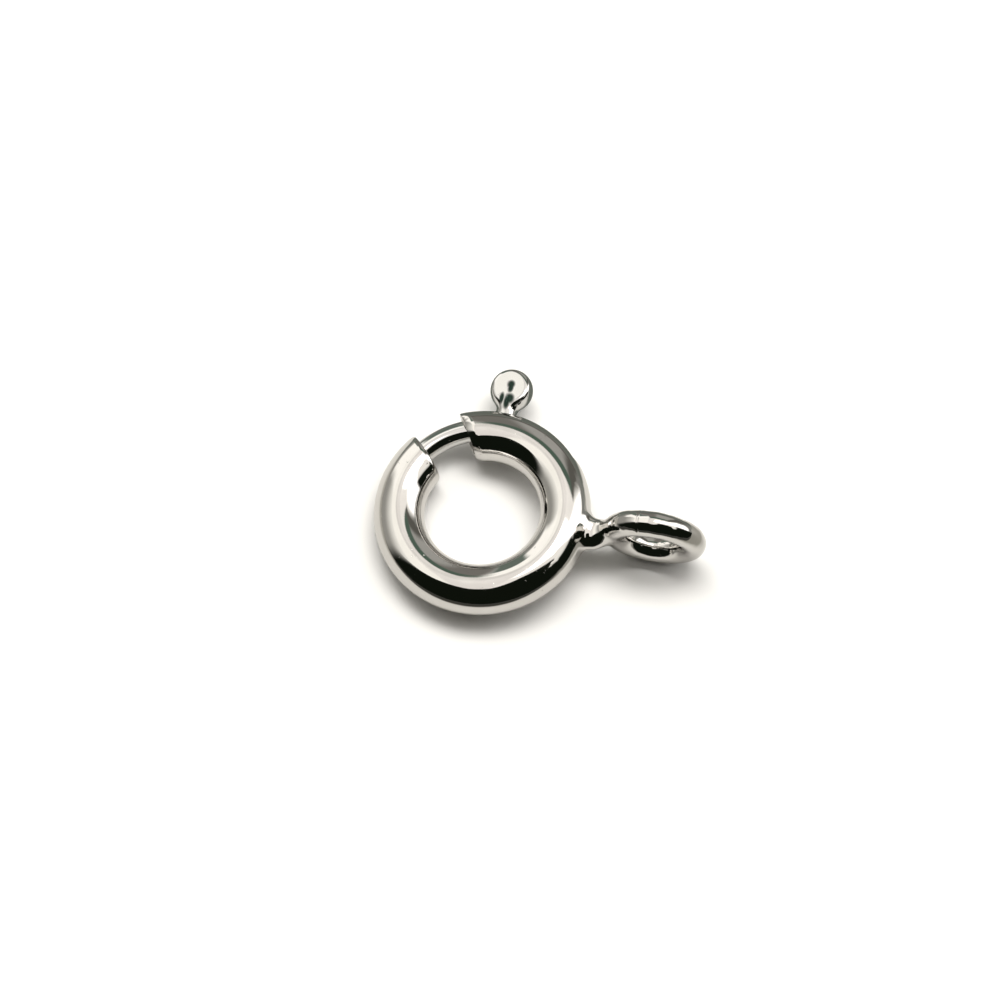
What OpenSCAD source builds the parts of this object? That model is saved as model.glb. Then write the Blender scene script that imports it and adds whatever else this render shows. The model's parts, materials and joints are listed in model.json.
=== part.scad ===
// Spring ring clasp for a fine chain, closed and lying on a flat surface.
// A round tube is bent into a ring with one gap. A curved tongue inside the tube closes the
// gap, and a coil spring behind it holds it shut. The thumb knob stands out through a slot in
// the tube. A closed wire eye, set upright on the ring, is soldered on by a short neck.
//
// Every piece is drawn flat first: ring centre at the origin, ring axis along Z, eye toward +X,
// and angles counted anticlockwise from the eye. The eye is deeper than the tube, so the whole
// clasp then tips onto the far side of the ring and the bottom of the eye.
// Lengths are in millimetres.

/* [Ring tube] */
// Outside diameter of the ring
ring_od = 6.0; // [5.4:0.1:7]
// Outside diameter of the tube that the ring is bent from
tube_d = 1.4; // [1.3:0.05:1.6]
// Thickness of the tube's wall
tube_wall = 0.17; // [0.14:0.01:0.2]
// Where the middle of the gap is, in degrees from the eye
gap_at = 126.5; // [118:0.5:135]
// Width of the gap at the middle of the tube
gap_w = 1.3; // [1:0.05:1.5]
// How far each end of the tube leans away from a square-sided gap, in degrees
gap_flare = 6.5; // [0:0.5:12]
// Width of the bevel round the outer edge of each end of the tube
end_bevel = 0.1; // [0.04:0.01:0.13]

/* [Tongue and thumb knob] */
// Diameter of the tongue's wire
tongue_d = 0.62; // [0.5:0.01:0.66]
// How far the closed tongue reaches into the tube past the gap
tongue_grip = 0.4; // [0.3:0.05:0.6]
// How far the tongue's tail runs on behind the thumb knob's stem
tongue_tail = 0.75; // [0.6:0.05:1]
// Where the thumb knob stands when the clasp is closed, in degrees from the eye
knob_at = 88; // [84:0.5:92]
// Diameter of the thumb knob
knob_d = 1.18; // [1:0.01:1.3]
// Thickness of the thumb knob, a ball that is pressed flat
knob_thick = 0.62; // [0.62:0.02:0.9]
// Clear height from the tube up to the thumb knob
knob_rise = 0.15; // [0.12:0.01:0.3]
// Diameter of the thumb knob's stem
stem_d = 0.58; // [0.5:0.01:0.6]
// How far the tongue turns when it is pulled back, in degrees
travel = 46; // [42:0.5:48]
// Running gap round the tongue, the stem and the spring
clearance = 0.035; // [0.02:0.005:0.05]

/* [Spring] */
// Diameter of the spring's wire
spring_wire_d = 0.12; // [0.08:0.01:0.16]
// Where the spring's fixed end bears on the plug in the tube, in degrees from the eye
plug_at = -60; // [-80:1:-40]
// Length of that plug
plug_len = 0.3; // [0.2:0.05:0.5]

/* [Eye] */
// Outside diameter of the eye
eye_od = 2.9; // [2.6:0.05:3.4]
// Diameter of the eye's wire
eye_wire_d = 0.72; // [0.6:0.02:0.8]
// Clear distance from the tube to the eye, which the solder neck bridges
neck_len = 0.36; // [0.2:0.02:0.6]
// Diameter of the solder neck
neck_d = 0.76; // [0.6:0.02:0.9]
// Radius of the fillets between the neck and the tube
neck_fillet = 0.3; // [0.2:0.02:0.4]
// How far the eye is turned out of upright, about the neck, in degrees
eye_turn = 4.5; // [-8:0.5:8]

/* [Hidden] */
$fn = 96;
silver = [0.83, 0.83, 0.84];
steel = [0.62, 0.63, 0.65];

// How far a cutting shape runs past what it cuts
past = 0.2;
// How deep a soldered shape is let into its neighbour, so that the two join
sunk = 0.02;
// The fine step where the tongue's domed tip starts
tip_step = 0.005;

tube_r = tube_d / 2;
ring_r = ring_od / 2 - tube_r;
bore_r = tube_r - tube_wall;
gap_half_angle = asin(gap_w / 2 / ring_r);

// The tongue rides against the outer side of the bore, where its stem leaves the tube.
tongue_r = tongue_d / 2;
tongue_path_r = ring_r + bore_r - tongue_r - clearance;
tip_at = gap_at + gap_half_angle + arc_angle(tongue_grip, tongue_path_r);
tail_at = knob_at - arc_angle(tongue_tail, tongue_path_r);

knob_r = knob_d / 2;
knob_path_r = ring_od / 2 + knob_rise + knob_r;
stem_r = stem_d / 2;
slot_w = stem_d + 2 * clearance;

// The spring starts at the plug and ends at the tongue's tail.
spring_r = bore_r - clearance;
plug_angle = arc_angle(plug_len, ring_r);
spring_from = plug_at + plug_angle / 2 + arc_angle(clearance, ring_r);
spring_to = tail_at - arc_angle(clearance, ring_r);

eye_r = (eye_od - eye_wire_d) / 2;
eye_x = ring_od / 2 + neck_len + eye_od / 2;
neck_r = neck_d / 2;

// The clasp rests on the ring's far side and on the eye's lowest point.
eye_drop = eye_r * cos(eye_turn) + eye_wire_d / 2;
rest_tilt = asin((eye_drop - tube_r) / (ring_r + eye_x));
lift = ring_r * sin(rest_tilt) + tube_r;

// The origin is the middle of the clasp's box, on the surface.
low_x = -ring_r * cos(rest_tilt) - tube_r;
high_x = eye_x * cos(rest_tilt) + eye_od / 2;
low_y = -ring_od / 2;
high_y = knob_path_r * sin(knob_at) + knob_r;

// The angle that an arc of this length covers at this radius.
function arc_angle(len, r) = len / r * 180 / PI;

module ring_body() color(silver) resting() difference() {
    union() {
        rotate_extrude() translate([ring_r, 0]) circle(tube_r);
        neck();
        eye();
    }
    bore();
    gap();
    slot();
    for (side = [-1, 1])
        end_bevel_cut(side);
}

// The hollow of the tube, all the way round except at the plug.
module bore()
    ring_sweep(plug_at + plug_angle / 2, plug_at - plug_angle / 2 + 360, ring_r) circle(bore_r);

// The gap that a chain's end ring passes through. Its sides open outward by the flare.
module gap() {
    inner = ring_r - tube_r - past;
    outer = ring_r + tube_r + past;
    function half_w(r) = gap_w / 2 + (r - ring_r) * tan(gap_flare);
    rotate([0, 0, gap_at]) translate([0, 0, -tube_r - past]) linear_extrude(tube_d + 2 * past)
        polygon([[inner, -half_w(inner)], [outer, -half_w(outer)],
                 [outer, half_w(outer)], [inner, half_w(inner)]]);
}

// The slot that the thumb knob's stem runs along, with round ends that fit the stem.
module slot() {
    rotate_extrude(angle = travel, start = knob_at - travel)
        translate([ring_r, -slot_w / 2]) square([tube_r + past, slot_w]);
    for (a = [knob_at, knob_at - travel])
        rotate([0, 0, a]) translate([ring_r, 0, 0]) rotate([0, 90, 0])
            cylinder(h = tube_r + past, d = slot_w);
}

// What the bevel takes off one end of the tube: all that lies outside a cone.
module end_bevel_cut(side) {
    rotate([0, 0, gap_at]) translate([ring_r, side * gap_w / 2, 0])
        rotate([0, 0, side * gap_flare]) rotate([-side * 90, 0, 0]) rotate_extrude()
            polygon([[tube_r - end_bevel - past, -past], [tube_r + past, -past],
                     [tube_r + past, end_bevel + past]]);
}

module eye()
    translate([eye_x, 0, 0]) rotate([90 + eye_turn, 0, 0])
        rotate_extrude() translate([eye_r, 0]) circle(d = eye_wire_d);

// The solder neck. It is round, spreads along the tube by one fillet, and is trimmed from the
// side by another, so that it doesn't climb over the tube.
module neck() intersection() {
    rotate([0, 90, 0]) rotate_extrude() intersection() {
        mirror([1, -1]) neck_outline(ring_od / 2, 0);
        square([ring_od, eye_x]);
    }
    rotate([90, 0, 0]) linear_extrude(ring_od, center = true) neck_outline(tube_r, ring_r);
}

// A bar from inside the tube to the middle of the eye's wire, with a fillet on either side
// where it leaves a circle of radius r about [x, 0].
module neck_outline(r, x) {
    fillet_y = neck_r + neck_fillet;
    reach = r + neck_fillet - sunk;
    fillet_x = x + sqrt(pow(reach, 2) - pow(fillet_y, 2));
    foot_y = r * fillet_y / reach;
    translate([ring_r, -neck_r]) square([eye_x - eye_r - ring_r, neck_d]);
    difference() {
        translate([ring_r, -foot_y]) square([fillet_x - ring_r, 2 * foot_y]);
        for (side = [-1, 1])
            translate([fillet_x, side * fillet_y]) circle(neck_fillet);
    }
}

module tongue() color(silver) resting() {
    ring_sweep(tail_at, tip_at, tongue_path_r) circle(tongue_r);
    // The tip is domed, so that it finds its way into the tube.
    rotate([0, 0, tip_at]) translate([tongue_path_r, 0, 0]) sphere(tongue_r - tip_step);
    rotate([0, 0, knob_at]) {
        translate([tongue_path_r, 0, 0]) rotate([0, 90, 0])
            cylinder(h = knob_path_r - tongue_path_r, r = stem_r);
        translate([knob_path_r, 0, 0]) knob();
    }
}

// The thumb knob, a ball pressed flat, with its two faces level with the ring.
module knob() intersection() {
    sphere(knob_r);
    cube([knob_d + past, knob_d + past, knob_thick], center = true);
}

// The coil spring's outer form, a sleeve as thick as its wire.
module spring() color(steel) resting()
    ring_sweep(spring_from, spring_to, ring_r) difference() {
        circle(spring_r);
        circle(spring_r - spring_wire_d);
    }

// Sweeps a round outline about the ring's axis from one angle to another.
module ring_sweep(from, to, r)
    rotate_extrude(angle = to - from, start = from) translate([r, 0]) children();

// Tips the flat-drawn clasp onto the surface and brings its box's middle over the origin.
module resting()
    translate([-(low_x + high_x) / 2, -(low_y + high_y) / 2, lift])
        rotate([0, -rest_tilt, 0]) children();

ring_body();
tongue();
spring();
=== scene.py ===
# %% [markdown]
# # A spring ring clasp in polished silver
# This lesson dresses one measured part: a spring ring clasp, 6 mm across, that lies closed on a
# pale table. The measured model is loaded first and stays as it is. Every visible piece is then
# made again as a fine mesh in the same place, because bright metal shows each flat facet of a
# coarse one. Lengths are written in millimetres and become metres when a mesh is placed.

# %% The measured frame
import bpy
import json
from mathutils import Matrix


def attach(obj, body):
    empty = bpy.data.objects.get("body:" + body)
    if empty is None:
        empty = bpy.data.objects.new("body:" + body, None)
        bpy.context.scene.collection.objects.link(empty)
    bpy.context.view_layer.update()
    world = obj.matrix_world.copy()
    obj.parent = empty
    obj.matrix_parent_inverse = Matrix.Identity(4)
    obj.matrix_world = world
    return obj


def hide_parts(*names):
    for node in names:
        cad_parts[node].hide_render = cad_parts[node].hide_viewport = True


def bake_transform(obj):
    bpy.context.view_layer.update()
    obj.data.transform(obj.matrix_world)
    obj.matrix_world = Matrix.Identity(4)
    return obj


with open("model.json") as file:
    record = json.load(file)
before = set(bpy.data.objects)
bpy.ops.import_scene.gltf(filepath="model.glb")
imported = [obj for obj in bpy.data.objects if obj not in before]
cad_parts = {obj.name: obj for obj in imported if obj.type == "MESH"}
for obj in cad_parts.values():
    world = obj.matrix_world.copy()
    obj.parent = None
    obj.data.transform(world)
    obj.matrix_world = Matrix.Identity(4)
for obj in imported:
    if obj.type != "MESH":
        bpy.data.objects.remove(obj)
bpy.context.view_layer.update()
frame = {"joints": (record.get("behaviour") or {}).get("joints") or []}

# %% What the lesson uses
import json

import bpy
import numpy as np
from mathutils import Matrix, Vector

MM = 0.001
scene = bpy.context.scene

# %% [markdown]
# ## The clasp's own axes
# Everything on the clasp is counted from the middle of the ring: X runs to the eye, Z along the
# ring's axis, and angles go anticlockwise from the eye. The clasp lies tilted on the table,
# because its eye is deeper than its tube. The frame already knows that tilt, as the axis that
# the tongue turns about, so the axes are read from there and not worked out twice.

# %% From the clasp's axes to the table's
joint = frame["joints"][0]
ring_axis = -Vector(joint["axis"]).normalized()
across = Vector((0, 1, 0))
toward_eye = across.cross(ring_axis)
ring_centre = Vector(joint["pos_m"])

clasp_to_table = Matrix((toward_eye, across, ring_axis)).transposed().to_4x4()
clasp_to_table.translation = ring_centre
clasp_to_table = clasp_to_table @ Matrix.Scale(MM, 4)
print("ring centre, mm:", [round(v / MM, 3) for v in ring_centre])

# %% [markdown]
# ## Sizes
# These are the driving sizes of the clasp, the same as those of the measured part. A few more
# follow for forms that are too small to matter in use but that the eye picks out on bright
# metal: worn lips, a seam, the uneven flow of solder.

# %% Driving sizes of the clasp
ring_od = 6.0
tube_d = 1.4
tube_wall = 0.17
gap_at = 126.5
gap_w = 1.3
gap_flare = 6.5
tongue_d = 0.62
tongue_grip = 0.4
tongue_tail = 0.75
knob_at = 88.0
knob_d = 1.18
knob_thick = 0.62
knob_rise = 0.15
stem_d = 0.58
travel = 46.0
clearance = 0.035
spring_wire_d = 0.12
plug_at = -60.0
plug_len = 0.3
eye_od = 2.9
eye_wire_d = 0.72
neck_len = 0.36
eye_turn = 4.5

# %% Sizes that follow from them
tube_r = tube_d / 2
ring_r = ring_od / 2 - tube_r
bore_r = tube_r - tube_wall
tongue_r = tongue_d / 2
tongue_path_r = ring_r + bore_r - tongue_r - clearance
gap_half_angle = np.degrees(np.arcsin(gap_w / 2 / ring_r))
tip_at = gap_at + gap_half_angle + np.degrees(tongue_grip / tongue_path_r)
tail_at = knob_at - np.degrees(tongue_tail / tongue_path_r)
knob_r = knob_d / 2
knob_path_r = ring_od / 2 + knob_rise + knob_r
slot_w = stem_d + 2 * clearance
plug_half_angle = np.degrees(plug_len / ring_r) / 2
spring_r = bore_r - clearance
spring_from = plug_at + plug_half_angle + np.degrees(clearance / ring_r)
spring_to = tail_at - np.degrees(clearance / ring_r)
eye_r = (eye_od - eye_wire_d) / 2
eye_x = ring_od / 2 + neck_len + eye_od / 2
print(f"tongue from {tail_at:.1f} to {tip_at:.1f} degrees, spring up to {spring_to:.1f}")

# %% [markdown]
# ## The camera
# The picture was taken from above and a little to the right, at about 68 degrees, with a long
# lens. A long lens far away keeps the ring's near and far sides the same size, as a close-up
# photograph of jewellery does. The camera's three directions are written out, because the
# picture is also turned a few degrees about the line of sight.

# %% Camera at the photograph's angle
view_toward = Vector((0.0488, -0.3750, 0.9262)).normalized()
view_right = Vector((0.9831, 0.1834, 0.0224))
view_up = view_toward.cross(view_right).normalized()
view_right = view_up.cross(view_toward)
view_distance = 220 * MM
frame_width = 27.53 * MM
right_of_ring = 0.487 * MM
above_ring = 0.352 * MM

camera = bpy.data.objects.new("camera", bpy.data.cameras.new("camera"))
scene.collection.objects.link(camera)
aim = ring_centre + view_right * right_of_ring + view_up * above_ring
pose = Matrix((view_right, view_up, view_toward)).transposed().to_4x4()
pose.translation = aim + view_toward * view_distance
camera.matrix_world = pose
camera.data.sensor_width = 36
camera.data.lens = camera.data.sensor_width * view_distance / frame_width
camera.data.clip_start = 10 * MM
camera.data.clip_end = 10
scene.camera = camera
print(f"lens {camera.data.lens:.0f} mm")

# %% [markdown]
# ## Building with loops of points
# A bent tube could be a torus with holes cut by Booleans, but each cut leaves thin triangles
# that show as kinks in a mirror finish. Here the skin is laid out as a net of four-sided faces
# instead: along the tube, round it, and in rings of faces round each opening. A small helper
# gathers the points and faces, and turns them into one closed mesh.

# %% A helper that gathers points and faces
class Skin:
    """The points and faces of one piece, in millimetres about the ring's centre."""

    def __init__(self):
        self.points = []
        self.count = 0
        self.faces = []

    def add(self, points):
        """Adds an array of points and returns their numbers in the same arrangement."""
        points = np.asarray(points, float)
        numbers = self.count + np.arange(points[..., 0].size).reshape(points.shape[:-1])
        self.points.append(points.reshape(-1, 3))
        self.count += numbers.size
        return numbers

    def strip(self, first, second):
        """Joins two closed loops of equal length with four-sided faces."""
        for k in range(len(first)):
            m = (k + 1) % len(first)
            self.faces.append((first[k], first[m], second[m], second[k]))

    def grow(self, previous, loops):
        """Joins each loop of points to the one before it; returns the numbers of the last."""
        for loop in loops:
            current = self.add(loop)
            self.strip(previous, current)
            previous = current
        return previous

    def net(self, numbers, hole=lambda i, j: False):
        """Faces over rows that close on themselves, open along the first direction."""
        columns, rows = numbers.shape
        for i in range(columns - 1):
            for j in range(rows):
                if not hole(i, j):
                    n = (j + 1) % rows
                    here, beyond = numbers[i], numbers[i + 1]
                    self.faces.append((here[j], beyond[j], beyond[n], here[n]))

    def close(self, loop, middle):
        """Closes a loop with triangles to one point."""
        centre = self.add([middle])[0]
        for k in range(len(loop)):
            self.faces.append((loop[k], loop[(k + 1) % len(loop)], centre))

    def make(self, name):
        """One smooth object at the origin, with its place on the table in its mesh."""
        used, corners = np.unique([n for face in self.faces for n in face], return_inverse=True)
        points = np.concatenate(self.points)[used]
        faces, start = [], 0
        for face in self.faces:
            faces.append(corners[start:start + len(face)].tolist())
            start += len(face)
        mesh = bpy.data.meshes.new(name)
        mesh.from_pydata(points.tolist(), [], faces)
        mesh.transform(clasp_to_table)
        return finish_mesh(mesh, name)


# %% A helper that turns the faces outward
import bmesh


def finish_mesh(mesh, name):
    """Points the faces outward, shades them smoothly and links the object."""
    work = bmesh.new()
    work.from_mesh(mesh)
    bmesh.ops.recalc_face_normals(work, faces=work.faces)
    open_edges = sum(not edge.is_manifold for edge in work.edges)
    work.to_mesh(mesh)
    work.free()
    mesh.shade_smooth()
    piece = bpy.data.objects.new(name, mesh)
    scene.collection.objects.link(piece)
    print(f"{name}: {len(mesh.polygons)} faces, {open_edges} open edges")
    return piece


# %% Points on the bent tube
def tube_point(theta, phi, r):
    """Theta goes round the ring from the eye, phi round the tube from its outermost line."""
    theta, phi = np.radians(theta), np.radians(phi)
    reach = ring_r + r * np.cos(phi)
    return np.stack([reach * np.cos(theta), reach * np.sin(theta), r * np.sin(phi) + 0 * theta], -1)


def soft_step(value):
    """0 below 0, 1 above 1, and a smooth rise between."""
    value = np.clip(value, 0, 1)
    return value * value * (3 - 2 * value)


# %% [markdown]
# ## The ends of the tube
# The gap's two sides are straight saw cuts that lean apart, and tumbling with steel shot has
# worn their outer edges into a soft lip. On a bent tube a straight cut meets each line along the
# tube at its own angle, so that angle is worked out for every point round the end. The lip
# differs between the two sides and round each end, so its length and depth are kept for the
# tube's outer, upper and inner part. Its fullness is 1 for a round and 2 for a straight bevel.

# %% Where a cut across the tube meets it
lip_fullness = {1: 1.2, -1: 1.7}
lip_sizes = {
    1: {"outer": (0.12, 0.03), "upper": (0.14, 0.06), "inner": (0.14, 0.06)},
    -1: {"outer": (0.05, 0.012), "upper": (0.19, 0.08), "inner": (0.18, 0.09)},
}
lip_long = max(length for parts in lip_sizes.values() for length, depth in parts.values())
lip_inner = 0.02
flare = np.radians(gap_flare)
half_gap = gap_w / 2 * np.cos(flare)


def end_angle(phi, r, inside, side):
    """Angle round the ring where the surface of radius r lies a distance inside the cut."""
    reach = ring_r + r * np.cos(np.radians(phi))
    offset = half_gap + inside - ring_r * np.sin(flare)
    return gap_at + side * np.degrees(flare + np.arcsin(offset / reach))


def lip_at(phi, side):
    """Length and depth of the worn lip at each angle round the tube."""
    to_upper = soft_step((np.abs(phi) - 45) / 15)[:, None]
    to_inner = soft_step((np.abs(phi) - 80) / 60)[:, None]
    outer, upper, inner = (np.array(lip_sizes[side][part]) for part in ("outer", "upper", "inner"))
    return (outer + (upper - outer) * to_upper + (inner - upper) * to_inner).T


# %% Columns along the tube and rows round it
column_step = 1.25
row_step = 5.0
end_blend = 24.0
middle_half = np.degrees(flare + np.arcsin((half_gap + lip_long) / ring_r - np.sin(flare)))
first_column = gap_at + middle_half
last_column = gap_at + 360 - middle_half
inner_columns = np.arange(np.ceil(first_column / column_step) + 1, np.floor(last_column / column_step))
columns = np.concatenate([[first_column], inner_columns * column_step, [last_column]])

# The tube was folded from sheet, and its seam is a fine groove on the inner side.
seam_at = 151.0
seam_half = 0.9
seam_deep = 0.0045
seam_shoulder = 2.2
plain_rows = np.arange(-180, 180, row_step)
plain_rows = plain_rows[np.abs(plain_rows - seam_at) > 3]
seam_rows = seam_at + seam_half * np.array([-seam_shoulder, -1, 0, 1, seam_shoulder])
rows = np.sort(np.concatenate([plain_rows, seam_rows]))
print(len(columns), "columns,", len(rows), "rows")


def tube_net(r, inside):
    """Angles of the net on one surface of the tube, bent near its ends to follow the cuts."""
    theta = np.repeat(columns[:, None], len(rows), axis=1)
    phi = np.repeat(rows[None, :], len(columns), axis=0)
    for side, end in ((1, first_column), (-1, last_column)):
        shift = (end_angle(rows, r, inside[side], side) - end + 180) % 360 - 180
        near = np.clip(1 - np.abs(columns - end) / end_blend, 0, 1) ** 2
        theta = theta + near[:, None] * shift[None, :]
    return theta, phi


# %% [markdown]
# ## Openings in the net
# The slot for the thumb knob and the foot of the solder neck both break the net. A rectangle of
# faces is left out for each, and loops of points lead from the rectangle's rim to the opening's
# true outline. All the loops lie on the tube itself, so the reflections stay calm up to the edge.

# %% A rectangle left out of the net, and its rim
def nearest(values, wanted):
    """The number of the value that lies nearest to the wanted one."""
    return int(np.argmin(np.abs(values - wanted)))


def rim_of(numbers, i0, i1, j0, j1):
    """Numbers round the rectangle, anticlockwise from the middle of its far side."""
    middle = (j0 + j1) // 2
    far_up = [(i1, j) for j in range(middle, j1)]
    top = [(i, j1) for i in range(i1, i0, -1)]
    near_down = [(i0, j) for j in range(j1, j0, -1)]
    bottom = [(i, j0) for i in range(i0, i1)]
    far_low = [(i1, j) for j in range(j0, middle)]
    order = far_up + top + near_down + bottom + far_low
    return np.array([numbers[i, j] for i, j in order]), np.array(order)


def lead_in(skin, place, rim, rim_angles, outline, loops):
    """Loops from the rim to an outline, both given as angles on a surface; returns the last."""
    crowding = 0.8
    shares = [(k / loops) ** crowding for k in range(1, loops + 1)]
    return skin.grow(rim, [place(*((1 - t) * rim_angles + t * outline).T) for t in shares])


# %% [markdown]
# ## The slot's outline
# The slot is as wide as the stem with a little play, and ends in half rounds. Each point of the
# rim looks for the nearest point of the slot's middle line, and the outline lies on that ray.
# The edge is broken by a tiny round, as tumbling leaves it.

# %% Slot outline on a surface of the tube
slot_low, slot_high = knob_at - travel, knob_at
slot_edge = 0.03


def slot_outline(rim_angles, r, grow):
    """Angles on the surface of radius r where the slot, widened by grow, meets it."""
    along, phi = rim_angles.T
    along = (along + 180) % 360 - 180
    spine = np.clip(along, slot_low, slot_high)
    out_x = (ring_r + r) * np.radians(along - spine)
    out_z = tube_r * np.radians(phi)
    ray = np.arctan2(out_z, out_x)
    half = slot_w / 2 + grow
    z = half * np.sin(ray)
    outline_phi = np.degrees(np.arcsin(z / r))
    reach = ring_r + r * np.cos(np.radians(outline_phi))
    outline_theta = spine + np.degrees(np.arcsin(half * np.cos(ray) / reach))
    return np.stack([outline_theta, outline_phi], 1)


# %% [markdown]
# ## The ring's tube
# Outer skin, bore, worn lips at the gap, the walls of the slot and the plug that the spring
# bears on are one closed skin, as on the real tube. The neck's place is left open for now.

# %% Outer skin and bore
skin = Skin()


def seam_groove(phi):
    """How far the skin is sunk along the seam."""
    away = np.abs(phi - seam_at) / seam_half
    return seam_deep * np.clip(1 - away, 0, 1)


def outer_place(theta, phi):
    """A point on the tube's outer skin."""
    return tube_point(theta, phi, tube_r - seam_groove(phi))


def bore_place(theta, phi):
    """A point on the tube's bore."""
    return tube_point(theta, phi, bore_r)


outer_theta, outer_phi = tube_net(tube_r, {side: lip_at(rows, side)[0] for side in (1, -1)})
outer = skin.add(outer_place(outer_theta, outer_phi))
bore_theta, bore_phi = tube_net(bore_r, {1: lip_inner, -1: lip_inner})
bore = skin.add(bore_place(bore_theta, bore_phi))

# %% Rectangles left out for the slot, the neck and the plug
# The angles along the tube are a full turn on, because the columns run from the gap past the eye.
slot_room = {"along": (388.75, 460), "round": 60}
neck_room = {"along": (327.5, 382.5), "round": 65}


def rectangle(room):
    """Numbers of the columns and rows nearest to a rectangle's four sides."""
    sides = [nearest(columns, angle) for angle in room["along"]]
    return (*sides, nearest(rows, -room["round"]), nearest(rows, room["round"]))


slot_rect, neck_rect = rectangle(slot_room), rectangle(neck_room)
plug_rect = [nearest(columns, plug_at + 360 + side * plug_half_angle) for side in (-1, 1)]


def inside_rect(rect, i, j):
    """Whether a face of the net lies in the rectangle."""
    return rect[0] <= i < rect[1] and rect[2] <= j < rect[3]


skin.net(outer, lambda i, j: inside_rect(slot_rect, i, j) or inside_rect(neck_rect, i, j))
skin.net(bore, lambda i, j: inside_rect(slot_rect, i, j) or plug_rect[0] <= i < plug_rect[1])
for i in plug_rect:
    skin.close(bore[i], tube_point(columns[i], 0.0, 0.0))

# %% Worn lips at the gap
lip_steps = np.radians(np.linspace(0, 90, 13)[1:])
inner_steps = np.radians(np.linspace(0, 90, 4)[:-1])


def end_loop(r, inside, side):
    """A loop round the tube's end on the surface of radius r, a distance inside the cut."""
    return tube_point(end_angle(rows, r, inside, side), rows, r)


for i, side in ((0, 1), (-1, -1)):
    length, depth = lip_at(rows, side)
    lip = []
    for step in lip_steps:
        worn = depth * (1 - max(np.cos(step), 0) ** lip_fullness[side])
        inside = length * (1 - np.sin(step) ** lip_fullness[side])
        lip.append(end_loop(tube_r - worn, inside, side))
    for step in inner_steps:
        inside = lip_inner * (1 - np.cos(step))
        lip.append(end_loop(bore_r + lip_inner * (1 - np.sin(step)), inside, side))
    skin.strip(skin.grow(outer[i], lip), bore[i])

# %% Walls of the slot
def angles_of(order, theta, phi):
    """The net's angles at the points of a rim, with a full turn taken off."""
    where = tuple(order.T)
    return np.stack([theta[where] - 360, phi[where]], 1)


slot_rim, slot_order = rim_of(outer, *slot_rect)
slot_rim_angles = angles_of(slot_order, outer_theta, outer_phi)
outer_edge = lead_in(skin, outer_place, slot_rim, slot_rim_angles,
                     slot_outline(slot_rim_angles, tube_r, slot_edge), loops=7)
rounding = []
for step in np.radians(np.linspace(0, 90, 5)[1:]):
    r = tube_r - slot_edge * (1 - np.cos(step))
    wider = slot_edge * (1 - np.sin(step))
    rounding.append(tube_point(*slot_outline(slot_rim_angles, r, wider).T, r))
bore_rim, bore_order = rim_of(bore, *slot_rect)
bore_rim_angles = angles_of(bore_order, bore_theta, bore_phi)
wall_top = skin.grow(outer_edge, rounding)
inner_edge = lead_in(skin, bore_place, bore_rim, bore_rim_angles,
                     slot_outline(slot_rim_angles, bore_r, 0), loops=5)
skin.strip(wall_top, inner_edge)

# %% [markdown]
# ## The eye
# The eye is a closed ring of round wire, set upright on the tube and turned a little. Soldering
# and tumbling leave it slightly uneven, which breaks its highlights into lumps, and a fine
# closing seam crosses it near the top. Both are pushed into the skin itself, since a bump in the
# finish alone wouldn't show on the outline.

# %% Skin of the eye's wire
eye_wire_r = eye_wire_d / 2
eye_column_step = 2.5
eye_row_step = 7.5
eye_seam_at = 76.0
eye_seam_half = 1.1
eye_seam_deep = 0.014
turn = np.radians(eye_turn)
eye_side = np.array([0, np.cos(turn), np.sin(turn)])
eye_up = np.array([0, -np.sin(turn), np.cos(turn)])


def eye_unevenness(beta, omega):
    """How far the wire's skin stands off a true round, in millimetres; less on the lower half."""
    b, w = np.radians(beta), np.radians(omega)
    broad = 0.0042 * np.sin(7 * w + 1.1 + 0.9 * np.sin(b)) * np.cos(b - 0.5)
    middling = 0.0026 * np.sin(16 * w + 0.4 + 1.3 * np.cos(2 * b))
    fine = 0.0012 * np.sin(37 * w + 2 * b)
    on_upper_half = soft_step((np.sin(w) + 0.3) / 0.6)
    lumps = (broad + middling + fine) * (0.2 + 0.8 * on_upper_half)
    seam = np.clip(1 - np.abs(omega - eye_seam_at) / eye_seam_half, 0, 1)
    return lumps - eye_seam_deep * seam


def eye_point(beta, omega):
    """Beta goes round the wire, omega round the eye from its place on the neck upward."""
    r = eye_wire_r + eye_unevenness(beta, omega)
    b, w = np.radians(beta), np.radians(omega)
    reach = eye_r + r * np.cos(b)
    middle = np.array([eye_x, 0, 0])
    along = -np.cos(w)[..., None] * np.array([1.0, 0, 0]) + np.sin(w)[..., None] * eye_up
    return middle + reach[..., None] * along + (r * np.sin(b))[..., None] * eye_side


eye_rows = np.arange(-180, 180, eye_row_step)
eye_columns = np.arange(-180, 180, eye_column_step)
seam_columns = eye_seam_at + eye_seam_half * np.array([-1, 0, 1])
eye_columns = eye_columns[np.abs(eye_columns - eye_seam_at) > 1.3]
eye_columns = np.sort(np.concatenate([eye_columns, seam_columns]))
eye_omega, eye_beta = np.meshgrid(eye_columns, eye_rows)
eye = skin.add(eye_point(eye_beta, eye_omega))
eye_room = {"round": 112.5, "along": 50}
eye_rect = (nearest(eye_rows, -eye_room["round"]), nearest(eye_rows, eye_room["round"]),
            nearest(eye_columns, -eye_room["along"]), nearest(eye_columns, eye_room["along"]))
for i in range(len(eye_rows)):
    for j in range(len(eye_columns)):
        if not inside_rect(eye_rect, i, j):
            m, n = (i + 1) % len(eye_rows), (j + 1) % len(eye_columns)
            skin.faces.append((eye[i, j], eye[m, j], eye[m, n], eye[i, n]))

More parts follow.
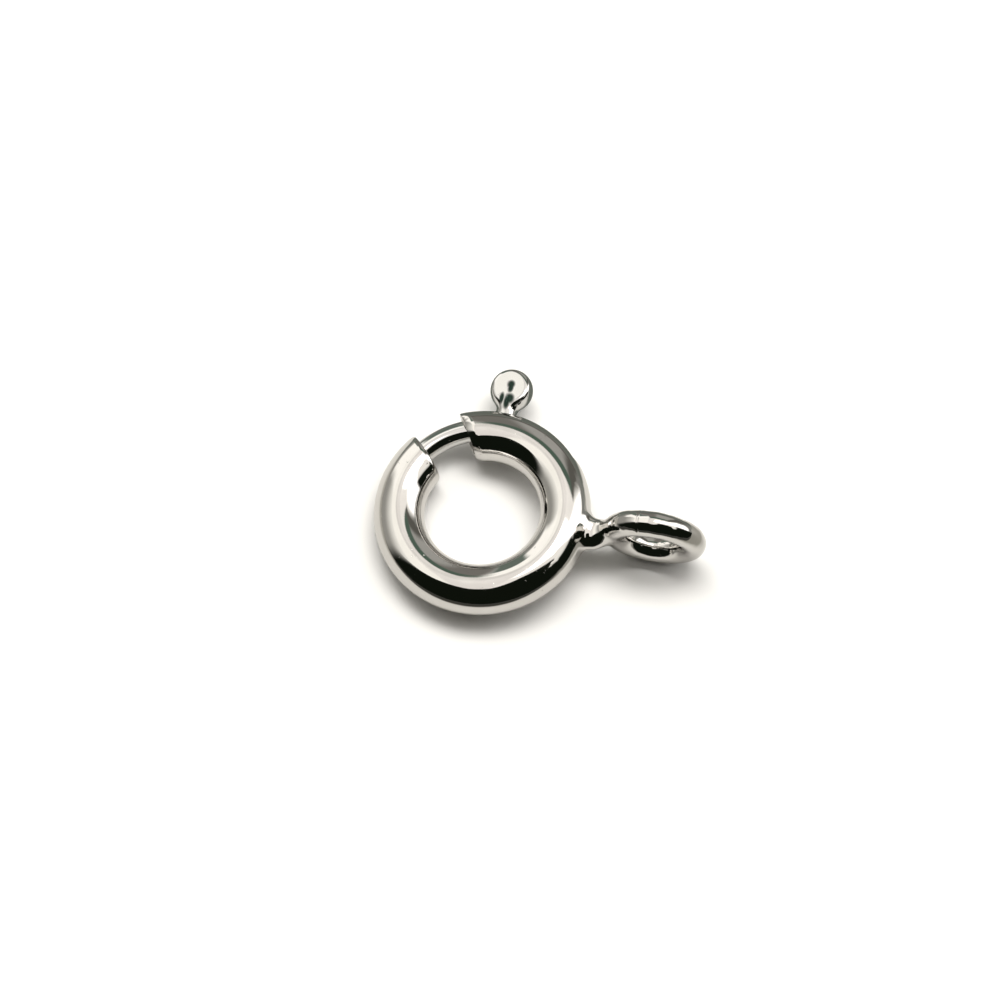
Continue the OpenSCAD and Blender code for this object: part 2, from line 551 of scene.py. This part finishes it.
# %% [markdown]
# ## The solder neck
# Solder flows into a waisted bridge between the tube and the eye, fuller on the near side where
# more of it ran down. It leaves both surfaces smoothly, so each line along the neck is a curve
# that starts in the tube's own direction, passes the waist straight along the neck and arrives
# in the direction of the eye's wire.

# %% Outline of the neck on the tube, at its waist and on the eye
neck_foot = {"far": 0.56, "near": 1.08, "height": 0.5}
neck_waist = {"far": 0.27, "near": 0.62, "height": 0.33}
neck_waist_at = {"far": 0.68 * neck_len, "near": 0.34 * neck_len}
neck_wrap = {"far": 52.0, "near": 96.0}
neck_spread = 27.0
neck_fullness = 1.1


def side_mix(psi, sizes):
    """The neck's half width at an angle round it, which differs between its two sides."""
    far = soft_step((np.cos(psi) + 0.6) / 1.2)
    return far * sizes["far"] + (1 - far) * sizes["near"]


ring_rim, ring_order = rim_of(outer, *neck_rect)
ring_rim_angles = angles_of(ring_order, outer_theta, outer_phi)
eye_rim, eye_order = rim_of(eye, *eye_rect)
eye_rim_angles = np.stack([eye_rows[eye_order[:, 0]], eye_columns[eye_order[:, 1]]], 1)
psi = np.linspace(0, 2 * np.pi, len(ring_rim), endpoint=False)
print("points round the neck:", len(ring_rim), len(eye_rim))

foot_phi = np.degrees(np.arcsin(neck_foot["height"] * np.sin(psi) / tube_r))
foot_reach = ring_r + tube_r * np.cos(np.radians(foot_phi))
foot_theta = np.degrees(np.arcsin(side_mix(psi, neck_foot) * np.cos(psi) / foot_reach))
foot_angles = np.stack([foot_theta, foot_phi], 1)
cuff_angles = np.stack([side_mix(psi, neck_wrap) * np.cos(psi), neck_spread * np.sin(psi)], 1)

# %% The neck's curves
foot = lead_in(skin, outer_place, ring_rim, ring_rim_angles, foot_angles, loops=6)
cuff = lead_in(skin, eye_point, eye_rim, eye_rim_angles, cuff_angles, loops=5)

small = 0.002
foot_at = outer_place(*foot_angles.T)
foot_heading = outer_place(*(foot_angles * (1 - small)).T) - foot_at
foot_heading /= np.linalg.norm(foot_heading, axis=1)[:, None]
cuff_at = eye_point(*cuff_angles.T)
cuff_heading = eye_point(*(cuff_angles * (1 + small)).T) - cuff_at
cuff_heading /= np.linalg.norm(cuff_heading, axis=1)[:, None]
waist_at = np.stack([ring_od / 2 + side_mix(psi, neck_waist_at), side_mix(psi, neck_waist) * np.cos(psi),
                     neck_waist["height"] * np.sin(psi)], 1)
straight_on = np.array([1.0, 0, 0])


def curve_between(start, start_heading, end, end_heading, t):
    """A smooth curve between two loops that leaves and arrives along the given directions."""
    span = np.linalg.norm(end - start, axis=1)[:, None] * neck_fullness
    blend = np.array([2 * t**3 - 3 * t**2 + 1, t**3 - 2 * t**2 + t, -2 * t**3 + 3 * t**2, t**3 - t**2])
    leaving, arriving = blend[1] * span * start_heading, blend[3] * span * end_heading
    return blend[0] * start + leaving + blend[2] * end + arriving


shares = np.linspace(0, 1, 9)[1:]
to_waist = [curve_between(foot_at, foot_heading, waist_at, straight_on, t) for t in shares]
to_eye = [curve_between(waist_at, straight_on, cuff_at, cuff_heading, t) for t in shares[:-1]]
skin.strip(skin.grow(foot, to_waist + to_eye), cuff)

ring_shell = skin.make("ring_shell")

# %% [markdown]
# ## The tongue
# The tongue is a short piece of round wire on the ring's curve, a little outside the middle of
# the tube. Its front end is domed so that it finds its way into the tube. The thumb knob is a
# ball pressed flat, on a short stem that stands on the wire and comes out through the slot. Wire
# and stem are two skins in one piece: where they meet is hidden in the tube.

# %% Wire of the tongue
tongue = Skin()
round_steps = 48


def wire_ring(angle, shift, r):
    """A ring of points round the wire, moved along it by shift."""
    a = np.radians(angle)
    outward = np.array([np.cos(a), np.sin(a), 0])
    along = np.array([-np.sin(a), np.cos(a), 0])
    turn = np.radians(np.arange(0, 360, 360 / round_steps))[:, None]
    middle = tongue_path_r * outward + shift * along
    return middle + r * (np.cos(turn) * outward + np.sin(turn) * np.array([0, 0, 1.0]))


tail_bevel = 0.05
dome_steps = np.radians(np.arange(0, 90, 6))
stations = [(tail_at, 0.3 * tail_bevel, tongue_r - 0.3 * tail_bevel), (tail_at, tail_bevel, tongue_r)]
stations += [(angle, 0.0, tongue_r) for angle in np.arange(np.ceil(tail_at + 2), tip_at, 1.0)]
stations += [(tip_at, tongue_r * np.sin(b), tongue_r * np.cos(b)) for b in dome_steps]
tail = tongue.add(wire_ring(tail_at, 0.0, tongue_r - tail_bevel))
tip = tongue.grow(tail, [wire_ring(*station) for station in stations])
tongue.close(tail, wire_ring(tail_at, 0.0, 0.0)[0])
tongue.close(tip, wire_ring(tip_at, tongue_r, 0.0)[0])

# %% [markdown]
# ## The thumb knob
# The knob is a ball pressed flat and the stem a round peg, and solder lies softly in the corner
# between them. Each form is written as a distance that is below zero inside it, because two such
# distances join smoothly and a third one presses both flat. The face leans a little, and pressing
# has left three dents in it that are round at their outer end and narrow to a point.

# %% Form of the thumb knob and its stem
knob_edge = 0.08
stem_fillet = 0.14
stem_end = -0.35
knob_lean = 0.07
halvings = 40


def soft_max(a, b, width):
    """The larger of two values, with a smooth turn where they are nearly equal."""
    return np.maximum(a, b) + np.clip(width - np.abs(a - b), 0, None) ** 2 / (4 * width)


def knob_distance(s, away, x, z):
    """Below zero inside the piece. s runs outward along the stem, away is measured from its axis."""
    ball = np.hypot(s, away) - knob_r
    stem = np.hypot(away, max(s - stem_end, 0)) - stem_d / 2
    joined = -soft_max(-ball, -stem, stem_fillet)
    return soft_max(joined, np.abs(z + knob_lean * x) - knob_thick / 2, knob_edge)


def knob_section(s, turns):
    """Distance from the stem's axis to the skin at s, found by halving."""
    low, high = np.zeros(len(turns)), np.full(len(turns), knob_r + 0.1)
    for _ in range(halvings):
        middle = (low + high) / 2
        within = knob_distance(s, middle, middle * np.cos(turns), middle * np.sin(turns)) < 0
        low, high = np.where(within, middle, low), np.where(within, high, middle)
    return low


# %% Dents in the knob's upper face
knob_dents = [
    {"side": 0.0, "far": 0.20, "near": -0.25, "half_width": 0.10, "deep": 0.016},
    {"side": -0.03, "far": -0.18, "near": -0.68, "half_width": 0.13, "deep": 0.022},
    {"side": 0.178, "far": -0.20, "near": -0.62, "half_width": 0.07, "deep": 0.014},
]


def dent_depth(s, side):
    """How far the upper face is sunk at s along the stem and to one side of it."""
    total = 0
    for dent in knob_dents:
        t = (dent["far"] - s) / (dent["far"] - dent["near"])
        along = soft_step(t / 0.3) * soft_step((1 - t) / 0.7)
        width = dent["half_width"] * (1 - 0.6 * np.clip(t, 0, 1))
        across = np.exp(-1.5 * ((side - dent["side"]) / width) ** 2)
        total = total + dent["deep"] * along * across
    return total


# %% Skin of the stem and the knob
knob_turns = np.radians(np.arange(0, 360, 2.5))
knob_angle = np.radians(knob_at)
outward = np.array([np.cos(knob_angle), np.sin(knob_angle), 0])
sideways = np.array([-np.sin(knob_angle), np.cos(knob_angle), 0])


def knob_loop(s):
    """A loop round the stem and knob at s."""
    r = knob_section(s, knob_turns)
    x, z = r * np.cos(knob_turns), r * np.sin(knob_turns)
    z = z - dent_depth(s, x) * soft_step(z / 0.2)
    return (knob_path_r + s) * outward + x[:, None] * sideways + z[:, None] * np.array([0, 0, 1.0])


stem_foot = tongue_path_r - 0.05
through_slot = (2.8, 2.95)
stem_stations = np.array(through_slot) - knob_path_r
face_stations = np.arange(-0.76, 0.46, 0.02)
end_stations = knob_r * np.cos(np.radians(np.arange(38, 2, -3)))
stations = np.concatenate([stem_stations, face_stations, end_stations])
foot_loop = tongue.add(knob_loop(stem_foot - knob_path_r))
knob_end = tongue.grow(foot_loop, [knob_loop(s) for s in stations])
tongue.close(foot_loop, stem_foot * outward)
tongue.close(knob_end, (knob_path_r + knob_r) * outward)
tongue_wire = tongue.make("tongue_wire")

# %% [markdown]
# ## The spring
# The spring is a coil that follows the bend of the tube from the plug to the tongue's tail. What
# follows a rule along a path is work for Geometry Nodes: a straight line of points is bent into
# a coil by arithmetic on each point's number, and a round profile is swept along it. The tree's
# inputs are the sizes, so another clasp's spring needs no new tree.

# %% A small helper for arithmetic nodes
def calc(tree, operation, *values):
    """An arithmetic node. Values are sockets or plain numbers."""
    node = tree.nodes.new("ShaderNodeMath")
    node.operation = operation
    for socket, value in zip(node.inputs, values):
        if isinstance(value, bpy.types.NodeSocket):
            tree.links.new(value, socket)
        else:
            socket.default_value = value
    return node.outputs[0]


# %% The coil's node tree
def coil_tree(material):
    """The node tree that makes the coil from its sizes."""
    tree = bpy.data.node_groups.new("bent_coil", "GeometryNodeTree")
    tree.interface.new_socket("Geometry", in_out="INPUT", socket_type="NodeSocketGeometry")
    tree.interface.new_socket("Geometry", in_out="OUTPUT", socket_type="NodeSocketGeometry")
    for name in ("Path radius", "Coil radius", "Wire radius", "From angle", "To angle", "Turns"):
        tree.interface.new_socket(name, in_out="INPUT", socket_type="NodeSocketFloat")
    given = tree.nodes.new("NodeGroupInput").outputs
    points = 2400
    line = tree.nodes.new("GeometryNodeCurvePrimitiveLine")
    resample = tree.nodes.new("GeometryNodeResampleCurve")
    resample.inputs["Count"].default_value = points
    tree.links.new(line.outputs["Curve"], resample.inputs["Curve"])
    number = tree.nodes.new("GeometryNodeInputIndex").outputs[0]
    share = calc(tree, "DIVIDE", number, points - 1)
    swing = calc(tree, "SUBTRACT", given["To angle"], given["From angle"])
    path_angle = calc(tree, "MULTIPLY_ADD", swing, share, given["From angle"])
    coil_angle = calc(tree, "MULTIPLY", calc(tree, "MULTIPLY", given["Turns"], 2 * np.pi), share)
    out, up = calc(tree, "COSINE", coil_angle), calc(tree, "SINE", coil_angle)
    reach = calc(tree, "MULTIPLY_ADD", given["Coil radius"], out, given["Path radius"])
    place = tree.nodes.new("ShaderNodeCombineXYZ")
    tree.links.new(calc(tree, "MULTIPLY", reach, calc(tree, "COSINE", path_angle)), place.inputs["X"])
    tree.links.new(calc(tree, "MULTIPLY", reach, calc(tree, "SINE", path_angle)), place.inputs["Y"])
    tree.links.new(calc(tree, "MULTIPLY", given["Coil radius"], up), place.inputs["Z"])
    bend = tree.nodes.new("GeometryNodeSetPosition")
    tree.links.new(resample.outputs["Curve"], bend.inputs["Geometry"])
    tree.links.new(place.outputs[0], bend.inputs["Position"])
    section = tree.nodes.new("GeometryNodeCurvePrimitiveCircle")
    section.inputs["Resolution"].default_value = 10
    tree.links.new(given["Wire radius"], section.inputs["Radius"])
    sweep = tree.nodes.new("GeometryNodeCurveToMesh")
    sweep.inputs["Fill Caps"].default_value = True
    tree.links.new(bend.outputs["Geometry"], sweep.inputs["Curve"])
    tree.links.new(section.outputs["Curve"], sweep.inputs["Profile Curve"])
    realize = tree.nodes.new("GeometryNodeRealizeInstances")
    finish = tree.nodes.new("GeometryNodeSetMaterial")
    finish.inputs["Material"].default_value = material
    tree.links.new(sweep.outputs["Mesh"], realize.inputs[0])
    tree.links.new(realize.outputs[0], finish.inputs["Geometry"])
    tree.links.new(finish.outputs["Geometry"], tree.nodes.new("NodeGroupOutput").inputs[0])
    return tree


# %% The coil as a plain mesh
spring_turns = 24
spring_finish = bpy.data.materials.new("drawn_spring_wire")
carrier = bpy.data.objects.new("coil_carrier", bpy.data.meshes.new("coil_carrier"))
scene.collection.objects.link(carrier)
coil = carrier.modifiers.new("coil", "NODES")
coil.node_group = coil_tree(spring_finish)
wire_r = spring_wire_d / 2
wire_half_angle = np.degrees(wire_r / ring_r)
coil_sizes = {
    "Path radius": ring_r,
    "Coil radius": spring_r - wire_r,
    "Wire radius": wire_r,
    "From angle": np.radians(spring_from + wire_half_angle),
    "To angle": np.radians(spring_to - wire_half_angle),
    "Turns": spring_turns,
}
for item in coil.node_group.interface.items_tree:
    if item.name in coil_sizes:
        coil[item.identifier] = float(coil_sizes[item.name])
ready = carrier.evaluated_get(bpy.context.evaluated_depsgraph_get())
coil_mesh = bpy.data.meshes.new_from_object(ready)
carrier.modifiers.clear()
bpy.data.objects.remove(carrier)
coil_mesh.name = "coil_spring"
coil_mesh.transform(clasp_to_table)
coil_spring = finish_mesh(coil_mesh, "coil_spring")

# %% [markdown]
# ## Finishes
# The clasp is silver under a thin bright plating, polished by tumbling. Such a surface is a
# mirror with small faults: a faint haze that comes and goes, a slight waviness, and a few tiny
# pits. The colour hardly changes, so most of the finish is in how rough and how flat it is.

# %% Helpers that paint with nodes
def edge(tree, value, low, high, course="SMOOTHSTEP"):
    """Rises from 0 at low to 1 at high; falls where low is above high."""
    node = tree.nodes.new("ShaderNodeMapRange")
    node.interpolation_type = course
    node.inputs["From Min"].default_value = low
    node.inputs["From Max"].default_value = high
    tree.links.new(value, node.inputs["Value"])
    return node.outputs["Result"]


def patch(tree, under, colour, *masks):
    """Lays a colour over what is under it, where all the masks are open."""
    mask = masks[0]
    for other in masks[1:]:
        mask = calc(tree, "MULTIPLY", mask, other)
    node = tree.nodes.new("ShaderNodeMix")
    node.data_type = "RGBA"
    tree.links.new(mask, node.inputs["Factor"])
    for name, value in (("A", under), ("B", colour)):
        if isinstance(value, bpy.types.NodeSocket):
            tree.links.new(value, node.inputs[name])
        else:
            node.inputs[name].default_value = (*value, 1)
    return node.outputs["Result"]


# %% Polished metal
haze_scale = 1400.0
haze_edges = (0.4, 0.72)
tint_scale = 2600.0
pit_scale = 11000.0
pit_edges = (0.70, 0.80)
pit_place_scale = 900.0
pit_place_edges = (0.52, 0.62)


def metal(material, colours, haze, waves, grain, pit_depth=0.0):
    """A mirror finish. Haze goes from haze[0] to haze[1]; waves and grain are a scale and a height."""
    material.use_nodes = True
    tree = material.node_tree
    shader = tree.nodes["Principled BSDF"]
    shader.inputs["Metallic"].default_value = 1.0
    place = tree.nodes.new("ShaderNodeTexCoord").outputs["Object"]

    def noise(scale, detail):
        node = tree.nodes.new("ShaderNodeTexNoise")
        node.inputs["Scale"].default_value = scale
        node.inputs["Detail"].default_value = detail
        tree.links.new(place, node.inputs["Vector"])
        return node.outputs["Fac"]

    def bumped(height, deep, under=None):
        """A bump of some millimetres, laid over the one under it."""
        node = tree.nodes.new("ShaderNodeBump")
        node.inputs["Strength"].default_value = 1.0
        node.inputs["Distance"].default_value = deep * MM
        tree.links.new(height, node.inputs["Height"])
        if under is not None:
            tree.links.new(under, node.inputs["Normal"])
        return node.outputs["Normal"]

    spread = tree.nodes.new("ShaderNodeMapRange")
    spread.interpolation_type = "SMOOTHSTEP"
    for name, value in zip(("From Min", "From Max", "To Min", "To Max"), (*haze_edges, *haze)):
        spread.inputs[name].default_value = value
    tree.links.new(noise(haze_scale, 3.0), spread.inputs["Value"])
    tree.links.new(spread.outputs["Result"], shader.inputs["Roughness"])

    tint = tree.nodes.new("ShaderNodeMix")
    tint.data_type = "RGBA"
    tint.inputs["A"].default_value = (*colours[0], 1)
    tint.inputs["B"].default_value = (*colours[1], 1)
    tree.links.new(noise(tint_scale, 2.0), tint.inputs["Factor"])
    tree.links.new(tint.outputs["Result"], shader.inputs["Base Color"])

    normal = bumped(noise(waves[0], 2.0), waves[1])
    normal = bumped(noise(grain[0], 2.0), grain[1], normal)
    pits = edge(tree, noise(pit_scale, 1.0), *pit_edges, "LINEAR")
    pitted_places = edge(tree, noise(pit_place_scale, 1.0), *pit_place_edges, "LINEAR")
    normal = bumped(calc(tree, "MULTIPLY", pits, pitted_places), pit_depth, normal)
    tree.links.new(normal, shader.inputs["Normal"])
    return material


# %% The three finishes
silver_pits = -0.004
bright_silver = metal(bpy.data.materials.new("bright_silver"),
                      colours=((0.72, 0.705, 0.68), (0.67, 0.655, 0.63)), haze=(0.03, 0.08),
                      waves=(1800.0, 0.0012), grain=(30000.0, 0.0002), pit_depth=silver_pits)
rubbed_silver = metal(bpy.data.materials.new("rubbed_silver"),
                      colours=((0.70, 0.695, 0.68), (0.65, 0.645, 0.63)), haze=(0.05, 0.10),
                      waves=(2500.0, 0.001), grain=(36000.0, 0.0002), pit_depth=silver_pits)
metal(spring_finish, colours=((0.5, 0.5, 0.5), (0.42, 0.42, 0.43)),
      haze=(0.16, 0.3), waves=(4000.0, 0.0005), grain=(40000.0, 0.0003))
ring_shell.data.materials.append(bright_silver)
tongue_wire.data.materials.append(rubbed_silver)

# %% [markdown]
# ## Painted dark reflections in the dents
# Soft oval spots of near-black colour are painted into the dents of the thumb knob as dark
# reflections, placed by the knob's own directions.

# %% Painted dark reflections: black spots in the knob's dents
# Places and half sizes of the painted dark reflections, in millimetres along the stem and to its side.
painted_reflection_spots = [
    {"at": (0.06, 0.0), "half": (0.13, 0.11)},
    {"at": (-0.04, -0.01), "half": (0.16, 0.08)},
    {"at": (-0.36, -0.04), "half": (0.16, 0.14)},
    {"at": (-0.48, 0.02), "half": (0.22, 0.09)},
    {"at": (-0.38, 0.18), "half": (0.18, 0.07)},
]
dents = rubbed_silver.node_tree
table_turn = clasp_to_table.to_3x3()
along_stem = (table_turn @ Vector(outward)).normalized()
to_side = (table_turn @ Vector(sideways)).normalized()
face_middle = clasp_to_table @ Vector(outward * knob_path_r)
from_middle = dents.nodes.new("ShaderNodeVectorMath")
from_middle.operation = "SUBTRACT"
from_middle.inputs[1].default_value = face_middle
dents.links.new(dents.nodes.new("ShaderNodeTexCoord").outputs["Object"], from_middle.inputs[0])


def along(axis):
    """The distance of the shaded point from the knob's middle along one direction, in millimetres."""
    node = dents.nodes.new("ShaderNodeVectorMath")
    node.operation = "DOT_PRODUCT"
    node.inputs[1].default_value = axis / MM
    dents.links.new(from_middle.outputs["Vector"], node.inputs[0])
    return node.outputs["Value"]


s_along, side_along, up_along = along(along_stem), along(to_side), along(ring_axis)
painted_reflection_mask = None
for spot in painted_reflection_spots:
    reach = [calc(dents, "DIVIDE", calc(dents, "SUBTRACT", value, middle), half)
             for value, middle, half in zip((s_along, side_along), spot["at"], spot["half"])]
    squares = [calc(dents, "MULTIPLY", value, value) for value in reach]
    inside_spot = calc(dents, "SUBTRACT", 1.0, calc(dents, "ADD", *squares))
    painted_reflection_mask = inside_spot if painted_reflection_mask is None else calc(dents, "MAXIMUM", painted_reflection_mask, inside_spot)
# Near-black colour painted into the dents as their dark reflections.
painted_dark_reflection = (0.02, 0.036, 0.028)
on_upper_face = calc(dents, "GREATER_THAN", up_along, 0.1)
knob_colour = dents.nodes["Principled BSDF"].inputs["Base Color"]
knob_with_painted_reflection = patch(dents, knob_colour.links[0].from_socket, painted_dark_reflection, edge(dents, painted_reflection_mask, -0.5, 0.75),
                on_upper_face)
dents.links.new(knob_with_painted_reflection, knob_colour)
print(len(painted_reflection_spots), "spots of black")

# %% [markdown]
# ## Table and light
# The clasp lies on a plain pale table. Bright metal has no look of its own: it shows the room.
# The room here is soft and white overhead and on the right, grey behind, and dark on the near
# side where the photographer stands, which gives the broad black band on the ring. It is painted
# on the world as a few soft-edged patches. The camera itself sees a plain pale backdrop.

# %% Table
table_half = 2.0
table_drop = 0.002 * MM
pale = (0.88, 0.875, 0.865)
corners = [(x * table_half, y * table_half, -table_drop)
           for x, y in ((-1, -1), (1, -1), (1, 1), (-1, 1))]
table_mesh = bpy.data.meshes.new("table")
table_mesh.from_pydata(corners, [], [(0, 1, 2, 3)])
table = bpy.data.objects.new("table", table_mesh)
scene.collection.objects.link(table)
table_finish = bpy.data.materials.new("pale_table")
table_finish.use_nodes = True
paint = table_finish.node_tree
table_shader = paint.nodes["Principled BSDF"]
table_shader.inputs["Roughness"].default_value = 0.6
table_mesh.materials.append(table_finish)

# %% [markdown]
# ## The table in the metal's reflections
# The table's colour in the metal's reflections is painted apart from the pale table that the camera
# sees: a painted reflection of a light sheet under the clasp, greyer to the left and right, dark in
# front, and dark green close behind, which paints dark lines along the metal's rims.

# %% Painted reflections: light and dark parts of the table as the metal mirrors it
table_place = paint.nodes.new("ShaderNodeSeparateXYZ")
paint.links.new(paint.nodes.new("ShaderNodeTexCoord").outputs["Object"], table_place.inputs[0])
table_x, table_y = table_place.outputs["X"], table_place.outputs["Y"]
painted_sheet_reflection, left_grey, right_grey = (0.70, 0.69, 0.67), (0.36, 0.35, 0.32), (0.28, 0.275, 0.25)
painted_dark_front, painted_dark_rim_reflection = (0.03, 0.03, 0.025), (0.085, 0.1, 0.085)
painted_table_reflection = patch(paint, painted_sheet_reflection, left_grey, edge(paint, table_x, -7 * MM, -14 * MM))
painted_table_reflection = patch(paint, painted_table_reflection, right_grey, edge(paint, table_x, 5 * MM, 8 * MM))
painted_table_reflection = patch(paint, painted_table_reflection, painted_dark_front, edge(paint, table_y, -6.5 * MM, -9 * MM))
behind_left = edge(paint, calc(paint, "MULTIPLY_ADD", table_x, 0.6, table_y), 0.0, 0.6 * MM)
behind_right = edge(paint, calc(paint, "MULTIPLY_ADD", table_x, -0.5, table_y), 1.4 * MM, 2.6 * MM)
painted_table_reflection = patch(paint, painted_table_reflection, painted_dark_rim_reflection, edge(paint, table_y, 2.2 * MM, 2.8 * MM),
                 behind_left, behind_right)
# Glossy rays see the painted reflection colours; the camera and the lighting see the plain pale table.
in_mirror = paint.nodes.new("ShaderNodeLightPath").outputs["Is Glossy Ray"]
paint.links.new(patch(paint, pale, painted_table_reflection, in_mirror), table_shader.inputs["Base Color"])

# %% [markdown]
# ## The room
# The room is painted by direction: an azimuth that starts on the eye's side and goes by the back
# to the left, and an elevation. On the ceiling a place is given by how far it lies to the right
# and to the back for each unit of height, because a lamp and a sheet have straight edges there.

# %% Directions in the room
room = bpy.data.worlds.new("room")
scene.world = room
room.use_nodes = True
sky = room.node_tree
sky.nodes.clear()
direction = sky.nodes.new("ShaderNodeTexCoord").outputs["Generated"]
split = sky.nodes.new("ShaderNodeSeparateXYZ")
sky.links.new(direction, split.inputs[0])
east, north, height = split.outputs
degrees = 180 / np.pi
elevation = calc(sky, "MULTIPLY", calc(sky, "ARCSINE", height), degrees)
azimuth = calc(sky, "MULTIPLY", calc(sky, "ARCTAN2", north, east), degrees)


# %% Walls: creamy on the left, brown-grey behind
def rise(value, low, high):
    """0 at low and 1 at high."""
    return edge(sky, value, low, high)


def band(value, start, full_from, full_to, end):
    """0 outside start and end, 1 between the two values within them."""
    return calc(sky, "MULTIPLY", rise(value, start, full_from), rise(value, end, full_to))


foot_of_wall, upper_wall = (0.38, 0.37, 0.34), (1.30, 1.27, 1.19)
back_right, back_left = (0.44, 0.43, 0.40), (0.22, 0.21, 0.19)
back_corner, back_foot = (0.13, 0.125, 0.11), (0.14, 0.13, 0.115)
cream_panel, green_panel, green_edge = (1.42, 1.38, 1.30), (0.17, 0.205, 0.175), (0.10, 0.15, 0.115)

room_light = patch(sky, foot_of_wall, upper_wall, rise(elevation, 14, 60))
back_wall = patch(sky, back_right, back_left, rise(azimuth, 88, 98))
back_wall = patch(sky, back_wall, back_corner, rise(azimuth, 70, 60))
back_wall = patch(sky, back_wall, back_foot, rise(elevation, 9, 2))
room_light = patch(sky, room_light, back_wall, band(azimuth, 46, 52, 110, 118))
for colour, sides, up in (
    (cream_panel, (112, 119, 144, 152), (4, 14)),
    (green_panel, (112, 116, 127, 131), (38, 34)),
    (green_edge, (52, 66, 108, 120), (40, 46)),
):
    room_light = patch(sky, room_light, colour, band(azimuth, *sides), rise(elevation, *up))

# %% Ceiling: a white sheet with a cream one beside it, which ends in a straight line behind
white_sheet, cream_sheet = (1.32, 1.28, 1.19), (1.05, 1.00, 0.95)
seam_grey, pale_cream = (0.92, 0.88, 0.83), (1.18, 1.13, 1.07)
tallness = calc(sky, "MAXIMUM", height, 0.05)
along_x = calc(sky, "DIVIDE", east, tallness)
along_y = calc(sky, "DIVIDE", north, tallness)
ceiling = patch(sky, white_sheet, cream_sheet, rise(along_x, -0.42, -0.35))
from_seam = calc(sky, "ABSOLUTE", calc(sky, "ADD", along_x, 0.30))
ceiling = patch(sky, ceiling, seam_grey, rise(from_seam, 0.05, 0.03), rise(along_y, 0.2, 0.3))
ceiling = patch(sky, ceiling, pale_cream, rise(along_x, -0.08, -0.02))
room_light = patch(sky, room_light, ceiling, rise(along_y, 0.68, 0.60), rise(elevation, 46, 52))

# %% The window on the right
under_window, window = (0.27, 0.27, 0.25), (2.2, 2.15, 2.1)
room_light = patch(sky, room_light, under_window, band(azimuth, 4, 8, 48, 56), rise(elevation, 20, 14))
room_light = patch(sky, room_light, window, band(azimuth, 8, 14, 38, 48), rise(elevation, 9, 18))

# %% [markdown]
# ## The lamp and the dark near side
# The table is lit by the whole of a wide cloth in front of the lamp. The metal mirrors only the
# bright middle of that cloth, which gives its highlights their firm edges. On the near side the
# room is almost black, up to an outline that stands higher on the right.

# %% The lamp overhead
cloth, lamp_middle = (10.5, 10.3, 9.9), (3.6, 3.5, 3.35)


def inside_box(low_x, high_x, low_y, high_y, soft):
    """Masks for a rectangle on the ceiling whose edges are as wide as soft."""
    half = soft / 2
    across = band(along_x, low_x - half, low_x + half, high_x - half, high_x + half)
    back = band(along_y, low_y - half, low_y + half, high_y - half, high_y + half)
    return across, back, rise(height, 0.3, 0.4)


light_on_table = patch(sky, room_light, cloth, *inside_box(-0.40, 0.40, 0.08, 0.46, 0.2))
light_in_metal = patch(sky, room_light, lamp_middle, *inside_box(-0.05, 0.45, 0.05, 0.37, 0.06))

# %% The dark near side
near_dark = (0.006, 0.008, 0.005)
outline_shift = band(along_x, -0.06, 0.14, 0.75, 0.95)
outline = calc(sky, "MULTIPLY_ADD", outline_shift, -0.25, along_y)
outline = calc(sky, "MULTIPLY_ADD", rise(along_x, -0.2, -0.45), -0.1, outline)
below_outline = calc(sky, "MAXIMUM", rise(outline, -0.345, -0.375), rise(elevation, 42, 36))
near_side = (band(azimuth, -174, -158, 9, 15), below_outline)
light_on_table = patch(sky, light_on_table, near_dark, *near_side)
light_in_metal = patch(sky, light_in_metal, near_dark, *near_side)

# %% Backdrop for the camera, and the colour of the picture
seen = sky.nodes.new("ShaderNodeBackground")
seen.inputs["Color"].default_value = (0.97, 0.97, 0.965, 1)
lit = sky.nodes.new("ShaderNodeBackground")
ray = sky.nodes.new("ShaderNodeLightPath").outputs
sky.links.new(patch(sky, light_on_table, light_in_metal, ray["Is Glossy Ray"]), lit.inputs["Color"])
choose = sky.nodes.new("ShaderNodeMixShader")
sky.links.new(ray["Is Camera Ray"], choose.inputs["Fac"])
sky.links.new(lit.outputs[0], choose.inputs[1])
sky.links.new(seen.outputs[0], choose.inputs[2])
sky.links.new(choose.outputs[0], sky.nodes.new("ShaderNodeOutputWorld").inputs["Surface"])
scene.view_settings.view_transform = "Standard"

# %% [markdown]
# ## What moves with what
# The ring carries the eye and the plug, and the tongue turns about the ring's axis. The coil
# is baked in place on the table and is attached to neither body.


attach(ring_shell, "ring")
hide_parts("ring_body")
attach(tongue_wire, "tongue")
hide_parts("tongue")
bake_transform(coil_spring)
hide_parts("spring")
